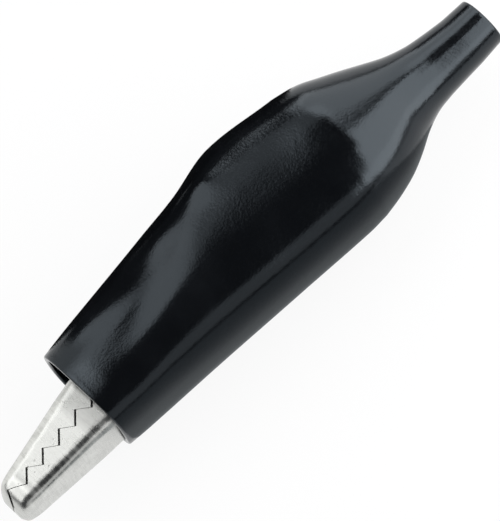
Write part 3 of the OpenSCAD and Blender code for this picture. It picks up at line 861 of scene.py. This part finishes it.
def crimp_shell(steps=40):
    """Open tabs round the cable, cut level at their ends."""
    points, faces = [], []
    for x in CRIMP:
        for radius in (CRIMP_RADIUS + SHEET, CRIMP_RADIUS):
            reach = math.pi / 2 + math.asin(CRIMP_TAB / radius)
            for a in evenly(-math.pi / 2 - reach, -math.pi / 2 + reach, steps):
                points.append(row(x, CABLE_HEIGHT + radius * math.sin(a), radius * math.cos(a)))

    def at(end, layer, k):
        return (end * 2 + layer) * steps + k

    for k in range(steps - 1):
        faces.append((at(0, 0, k), at(0, 0, k + 1), at(1, 0, k + 1), at(1, 0, k)))
        faces.append((at(0, 1, k), at(1, 1, k), at(1, 1, k + 1), at(0, 1, k + 1)))
        faces.append((at(0, 0, k), at(0, 1, k), at(0, 1, k + 1), at(0, 0, k + 1)))
        faces.append((at(1, 0, k), at(1, 0, k + 1), at(1, 1, k + 1), at(1, 1, k)))
    for k in (0, steps - 1):
        faces.append((at(0, 0, k), at(1, 0, k), at(1, 1, k), at(0, 1, k)))
    return new_piece("crimp", JAW_STEEL, points, faces)


def lathe(name, material, profile, origin, axis, steps=96):
    """A turned piece: pairs of radius and height, spun round an axis through origin."""
    axis = Vector(axis)
    side = axis.orthogonal().normalized()
    other = axis.cross(side)
    points, faces = [], []
    for i in range(steps):
        a = 2 * math.pi * i / steps
        spoke = side * math.cos(a) + other * math.sin(a)
        points += [origin + (spoke * r + axis * h) * MM for r, h in profile]
    count = len(profile)
    for i in range(steps):
        for k in range(count - 1):
            j = (i + 1) % steps
            faces.append((i * count + k, i * count + k + 1, j * count + k + 1, j * count + k))
    return new_piece(name, material, points, faces)


def ear_places(radius):
    return evenly(PIVOT[0] - radius, PIVOT[0] + radius, EAR_RINGS)


def make_fixed_jaw():
    edge = trimmed(FIXED_TRIM, EAR_RADIUS, 1)
    bends = evenly(HANDLE_START - 0.5, HANDLE_START + 0.5, 7) + evenly(HANDLE_END - 0.3, TAIL_START + 0.3, 16)
    bends += [STRIP_START + beside for beside in (-0.05, 0, 0.001, 0.05)] + ear_places(EAR_RADIUS)
    places = jaw_places(FIXED_TRIM, CRIMP[0] + SHEET / 2, bends)
    sheet = folded_sheet("fixed_sheet", places, (fixed_back, fixed_half, fixed_fold, edge), 1)
    inner, outer, deep = SCREW_RADIUS + COLLAR_GAP, COLLAR[0], TAIL_TOP - SHEET - COLLAR[1]
    ring = [(inner, TAIL_TOP - SHEET / 2), (outer, TAIL_TOP - SHEET / 2), (outer, deep), (inner, deep)]
    collar = lathe("collar", JAW_STEEL, ring + ring[:1], row(SCREW_X, 0, 0), (0, 1, 0), 64)
    jaw = joined("fixed_jaw_sheet", [sheet, crimp_shell(), collar])
    tidy_mesh(jaw)
    soften(jaw)
    finish_piece(jaw, "fixed", "fixed_jaw")


def make_moving_jaw():
    edge = trimmed(MOVING_TRIM, MOVING_EAR, -1)
    bends = evenly(JOGGLE[0] - 0.1, JOGGLE[1], 19) + ear_places(MOVING_EAR)
    bends += evenly(LEVER_END[0] - PAD_ROUND, LEVER_END[0] - 0.02, 14)
    places = jaw_places(MOVING_TRIM, LEVER_END[0], bends)
    jaw = folded_sheet("moving_jaw_sheet", places, (moving_back, moving_half, moving_fold, edge), -1)
    tidy_mesh(jaw)
    soften(jaw)
    finish_piece(jaw, "moving", "moving_jaw")


def make_rivet():
    """Shank with a domed head at each end."""
    seat = MOVING_HALF + SIDE_CLEARANCE
    radius, height = RIVET_HEAD
    dome = (radius**2 + height**2) / (2 * height)
    arc = math.asin(radius / dome)
    cap = [(dome * math.sin(a), seat + height - dome * (1 - math.cos(a))) for a in evenly(arc, 0, 12)]
    rim = [(radius - RIVET_RIM, seat), (radius, seat + RIVET_RIM)]
    rim.append((radius - RIVET_RIM / 2, seat + 2 * RIVET_RIM))
    half = [(RIVET_RADIUS, 0), (RIVET_RADIUS, seat)] + rim + cap[1:]
    profile = [(r, -h) for r, h in reversed(half)] + half[1:]
    rivet = lathe("rivet", RIVET_STEEL, profile, row(*PIVOT, 0), (0, 0, 1))
    tidy_mesh(rivet, 40.0)
    finish_piece(rivet, "fixed", "pivot_rivet")


# Wire and thread: a path by rule, swept with a round or pointed section


def coil_tree():
    """A helix swept with a regular section. Its first and last point can be moved, to make straight legs."""
    sockets = [
        ("Radius", "Float"), ("Rise per turn", "Float"), ("Start angle", "Float"), ("End angle", "Float"),
        ("Start leg", "Vector"), ("End leg", "Vector"), ("Legs", "Float"), ("Wire radius", "Float"),
        ("Wire sides", "Int"), ("Points", "Int"), ("Material", "Material"),
    ]
    tree, given = new_tree("coiled_wire", sockets)
    line = out(tree, "GeometryNodeCurvePrimitiveLine")
    points = out(tree, "GeometryNodeResampleCurve", {"Curve": line, "Count": given["Points"]})
    index = out(tree, "GeometryNodeInputIndex")
    share = ((index - 1) / (given["Points"] - 3)).math("MINIMUM", 1.0).math("MAXIMUM", 0.0)
    angle = given["Start angle"] + (given["End angle"] - given["Start angle"]) * share
    turns = (given["End angle"] - given["Start angle"]) / (2 * math.pi)
    rise = (share * -1 + 0.5) * turns * given["Rise per turn"]
    side, up = angle.math("COSINE") * given["Radius"], angle.math("SINE") * given["Radius"]
    coil = out(tree, "ShaderNodeCombineXYZ", {0: side, 1: up, 2: rise})
    first = index.math("LESS_THAN", 0.5)
    last = index.math("GREATER_THAN", given["Points"] - 1.5)
    for leg, is_leg in ((given["Start leg"], first), (given["End leg"], last)):
        coil = mix(tree, "Vector", is_leg * given["Legs"], coil, leg)
    path = out(tree, "GeometryNodeSetPosition", {"Geometry": points, "Position": coil})
    circle = {"Resolution": given["Wire sides"], "Radius": given["Wire radius"]}
    section = out(tree, "GeometryNodeCurvePrimitiveCircle", circle)
    wire = out(tree, "GeometryNodeCurveToMesh", {"Curve": path, "Profile Curve": section, "Fill Caps": True})
    end_tree(tree, wire, given["Material"])
    return tree


def leave_angle(point, way):
    """Angle round the coil at which a straight leg to a point leaves it."""
    return math.atan2(point[1], point[0]) + way * math.acos(COIL_RADIUS / math.hypot(*point))


def make_spring(tree):
    leg_x = PIVOT[0] + LEG_REACH
    upper = (LEG_REACH, moving_back(leg_x) - SHEET - WIRE_RADIUS - LEG_GAP - PIVOT[1])
    lower = (LEG_REACH, fixed_back(leg_x) + SHEET + WIRE_RADIUS + LEG_GAP - PIVOT[1])
    start, end = leave_angle(upper, 1), leave_angle(lower, -1) + 2 * math.pi * (COIL_TURNS + 1)
    rise = TURN_PITCH * (end - start) / (2 * math.pi)
    spring = new_piece("torsion_wire", SPRING_WIRE)
    run_nodes(spring, tree, {
        "Radius": COIL_RADIUS * MM, "Rise per turn": TURN_PITCH * MM, "Start angle": start, "End angle": end,
        "Start leg": Vector((*upper, rise / 2)) * MM, "End leg": Vector((*lower, -rise / 2)) * MM,
        "Legs": 1.0, "Wire radius": WIRE_RADIUS * MM, "Wire sides": 20, "Points": 240,
        "Material": SPRING_WIRE})
    spring.data.transform(Matrix.Translation(row(*PIVOT, 0)))
    tidy_mesh(spring, 50.0)
    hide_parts("torsion_spring")
    tuple(row(leg_x, PIVOT[1] + lower[1], 0))
    tuple(row(leg_x, PIVOT[1] + upper[1], 0))
    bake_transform(spring)


def cut_slot(screw, origin):
    """Cut a slot for a driver across the head of a screw that stands on origin."""
    radius, height = SCREW_HEAD
    cutter = new_piece("slot_cutter", SCREW_STEEL)
    block = bmesh.new()
    bmesh.ops.create_cube(block, size=1.0)
    size = Matrix.Diagonal((3 * radius * MM, 2 * SLOT * MM, SLOT * MM, 1.0))
    place = Matrix.Translation(origin + Vector((0, height * MM, 0)))
    bmesh.ops.transform(block, matrix=place @ size, verts=block.verts)
    block.to_mesh(cutter.data)
    block.free()
    cut = screw.modifiers.new("slot", "BOOLEAN")
    cut.operation, cut.object, cut.solver = "DIFFERENCE", cutter, "EXACT"
    bake(screw)
    bpy.data.objects.remove(cutter)


def make_screw(tree):
    """Head with a slot and a low crown, and a threaded shank."""
    radius, height = SCREW_HEAD
    crown = CROWN_RADIUS * radius
    shank = SCREW_GAP + SHEET + COLLAR[1] + SCREW_TIP
    core = SCREW_RADIUS - THREAD_DEPTH
    drop = crown - math.sqrt(crown**2 - radius**2)
    spokes = evenly(radius - CROWN_EDGE[0], 0, 10)
    profile = [
        (0, -shank), (core - SCREW_TIP, -shank), (core, -shank + SCREW_TIP), (core, 0),
        (radius - HEAD_EDGE, 0), (radius, HEAD_EDGE), (radius, height - drop - CROWN_EDGE[1]),
    ] + [(r, height - crown + math.sqrt(crown**2 - r**2)) for r in spokes]
    origin = row(SCREW_X, TAIL_TOP + SCREW_GAP, 0)
    screw = lathe("screw_turned", SCREW_STEEL, profile, origin, (0, 1, 0))
    tidy_mesh(screw, 40.0)
    cut_slot(screw, origin)
    thread = new_piece("thread", SCREW_STEEL)
    run_nodes(thread, tree, {
        "Radius": (core + THREAD_SEAT) * MM, "Rise per turn": THREAD_PITCH * MM, "Start angle": 0.0,
        "End angle": THREAD_TURNS * 2 * math.pi, "Legs": 0.0, "Wire radius": THREAD_RADIUS * MM,
        "Wire sides": 4, "Points": 140, "Material": SCREW_STEEL})
    upright = Matrix.Rotation(-math.pi / 2, 4, "X")
    middle = origin - Vector((0, (shank - THREAD_MIDDLE) * MM, 0))
    thread.data.transform(Matrix.Translation(middle) @ upright)
    joined("clamp_screw_turned", [screw, thread])
    tidy_mesh(screw, 40.0, outward=False)
    finish_piece(screw, "screw", "clamp_screw")


def make_clip():
    make_boot()
    make_fixed_jaw()
    make_moving_jaw()
    make_rivet()
    wire = coil_tree()
    make_spring(wire)
    make_screw(wire)


# Studio

FLOOR_HALF = 1.5
FLOOR_COLOUR = (0.86, 0.86, 0.87)
FLOOR_GLOW = 0.9
SKY_COLOUR = (0.9, 0.95, 1.0)
SKY_STRENGTH = 0.04

# Soft boxes: the way they stand from the clip, the angles of their edges from straight up in degrees,
# their ends across that way in metres, their radiance, and their distance in metres
SOFT_BOXES = {
    "soft_box_lever_side": ((0, 1, 0), (16, 56), (-0.6, 0.022), 1.35, 0.3),
    "soft_box_lever_side_end": ((0, 1, 0), (20, 44), (0.02, 0.2), 0.5, 0.3),
    "soft_box_tip_side": ((-1, 0, 0), (13, 26), (0.03, 0.13), 1.0, 0.3),
    "soft_box_handle_side": ((0, -1, 0), (50, 82.5), (-1.2, 0.6), 0.45, 0.6),
    "soft_box_cable_end": ((1, 0, 0), (19.6, 80), (-0.0235, 0.3), 2.55, 0.153),
    "soft_box_far_corner": ((1, 0, 0), (19.6, 80), (-0.2, -0.0375), 1.7, 0.153),
    "soft_box_far_corner_end": ((1, 0, 0), (26, 80), (-0.28, -0.2), 1.8, 0.153),
}

# Cards that only gloss can see, which paint light and shade into the reflections: shade, and four corners in
# millimetres
PAINTED_REFLECTION_CARDS = {
    # A black card that paints a dark patch into the reflections, and casts no shadow
    "painted_dark_patch_card": ((0.0, 0.0, 0.0), [(37, -20, 159), (66, -20, 124), (66, 60, 124), (37, 60, 159)]),
    # Painted shade in the reflections: the floor on the lever's side, as dark as if the clip shaded it
    "painted_floor_shade_lever_side": ((0.01, 0.01, 0.01), [(-12, 4, 0.1), (10, 4, 0.1), (400, 1400, 0.1), (-60, 1400, 0.1)]),
    # Painted shade in the reflections: the floor on the handle's side, greyed as if the clip shaded it
    "painted_floor_shade_handle_side": (
        (0.34, 0.36, 0.37), [(-600, -1400, 0.1), (300, -1400, 0.1), (15, -3, 0.1), (-12, -3, 0.1)]),
    # A glowing card that is no lamp: a painted highlight in the reflections on the top bends of the jaws
    "painted_highlight_card": ((1.05, 1.05, 1.04), [(-34, 14, 0.1), (-13.5, 14, 0.1), (-13.5, 22, 40), (-34, 22, 40)]),
}

# The camera's place: angles in degrees, lengths in millimetres, shift in pixels of the photograph's frame
CAMERA_ELEVATION = 72.0
CAMERA_SIDE = 6.2
CAMERA_ROLL = 45.56
CAMERA_DISTANCE = 400.0
CAMERA_SHIFT = (-18.07, -12.70)
AIM_HEIGHT = 4.25
PIXELS_PER_MM = 16.26
FRAME_HEIGHT = 521


def make_floor():
    """A pale floor that shows white to the camera and in reflections, and keeps a soft shadow."""
    material, tree, surface = new_material("pale_floor")
    surface.inputs["Base Color"].default_value = opaque(FLOOR_COLOUR)
    surface.inputs["Roughness"].default_value = 0.8
    surface.inputs["Specular IOR Level"].default_value = 0.1
    glow = add(tree, "ShaderNodeEmission", {"Color": opaque((1.0, 1.0, 1.0)), "Strength": 1.0})
    path = add(tree, "ShaderNodeLightPath")
    seen = Wire(tree, path.outputs["Is Camera Ray"]) + Wire(tree, path.outputs["Is Glossy Ray"])
    seen = (seen + Wire(tree, path.outputs["Is Transmission Ray"])).math("MINIMUM", 1.0)
    shaders = {0: seen * FLOOR_GLOW, 1: surface.outputs[0], 2: glow.outputs[0]}
    mixed = add(tree, "ShaderNodeMixShader", shaders)
    output = next(n for n in tree.nodes if n.type == "OUTPUT_MATERIAL")
    feed(tree, output.inputs["Surface"], mixed.outputs[0])
    corners = [(x * FLOOR_HALF, y * FLOOR_HALF, 0) for x, y in ((-1, -1), (1, -1), (1, 1), (-1, 1))]
    new_piece("floor", material, corners, [(0, 1, 2, 3)])


def soft_box(name, toward, angles, ends, radiance, distance):
    """An area lamp that stands beside the clip and faces it."""
    toward = Vector(toward)
    across = toward.cross(Vector((0, 0, 1)))
    edges = [(toward * math.sin(math.radians(a)) + Vector((0, 0, math.cos(math.radians(a))))) * distance
             for a in angles]
    middle = (edges[0] + edges[1]) / 2
    light = bpy.data.lights.new(name, "AREA")
    light.shape = "RECTANGLE"
    light.size, light.size_y = ends[1] - ends[0], (edges[1] - edges[0]).length
    light.energy = radiance * 4 * light.size * light.size_y
    lamp = bpy.data.objects.new(name, light)
    bpy.context.scene.collection.objects.link(lamp)
    back = middle.normalized()
    turn = Matrix((across, back.cross(across), back)).transposed().to_4x4()
    lamp.matrix_world = Matrix.Translation(middle + across * (ends[0] + ends[1]) / 2) @ turn


def painted_reflection_card(name, shade, corners):
    """A card of one plain tone, which darkens or lightens what the gloss shows and nothing else: painted
    light or shade in the reflections, with no lamp and no shadow behind it.
    """
    material, tree, surface = new_material(name)
    surface.inputs["Base Color"].default_value = opaque((0.0, 0.0, 0.0))
    surface.inputs["Specular IOR Level"].default_value = 0.0
    surface.inputs["Emission Color"].default_value = opaque(shade)
    surface.inputs["Emission Strength"].default_value = 1.0
    sheet = new_piece(name, material, [Vector(corner) * MM for corner in corners], [(0, 1, 2, 3)])
    sheet.visible_camera = sheet.visible_diffuse = sheet.visible_shadow = sheet.visible_transmission = False


def make_light():
    world = bpy.data.worlds.new("studio")
    world.use_nodes = True
    sky = world.node_tree.nodes["Background"]
    sky.inputs["Color"].default_value = opaque(SKY_COLOUR)
    sky.inputs["Strength"].default_value = SKY_STRENGTH
    bpy.context.scene.world = world
    for name, settings in SOFT_BOXES.items():
        soft_box(name, *settings)
    # Painted reflections: cards that paint light and shade into what the gloss shows
    for name, settings in PAINTED_REFLECTION_CARDS.items():
        painted_reflection_card(name, *settings)


def make_camera():
    """The camera looks down on the clip, which lies across the picture, from the side of the handle."""
    elevation, side, roll = (math.radians(a) for a in (CAMERA_ELEVATION, CAMERA_SIDE, CAMERA_ROLL))
    level_part = math.cos(side)
    back = Vector((-math.sin(side), -math.cos(elevation) * level_part, math.sin(elevation) * level_part))
    along = (Vector((1, 0, 0)) - back.x * back).normalized()
    over = back.cross(along)
    right = math.cos(roll) * along - math.sin(roll) * over
    up = math.sin(roll) * along + math.cos(roll) * over
    left, rise = (pixels / PIXELS_PER_MM for pixels in CAMERA_SHIFT)
    aim = Vector((0, 0, AIM_HEIGHT)) - right * left + up * rise
    camera = bpy.data.cameras.new("camera")
    camera.sensor_width = 36.0
    camera.lens = CAMERA_DISTANCE * PIXELS_PER_MM * camera.sensor_width / FRAME_HEIGHT
    camera.clip_start = 0.01
    holder = bpy.data.objects.new("camera", camera)
    bpy.context.scene.collection.objects.link(holder)
    turn = Matrix((right, up, back)).transposed().to_4x4()
    holder.matrix_world = Matrix.Translation((aim + back * CAMERA_DISTANCE) * MM) @ turn
    bpy.context.scene.camera = holder


bpy.context.scene.view_settings.view_transform = "Standard"
make_camera()
make_clip()
make_floor()
make_light()
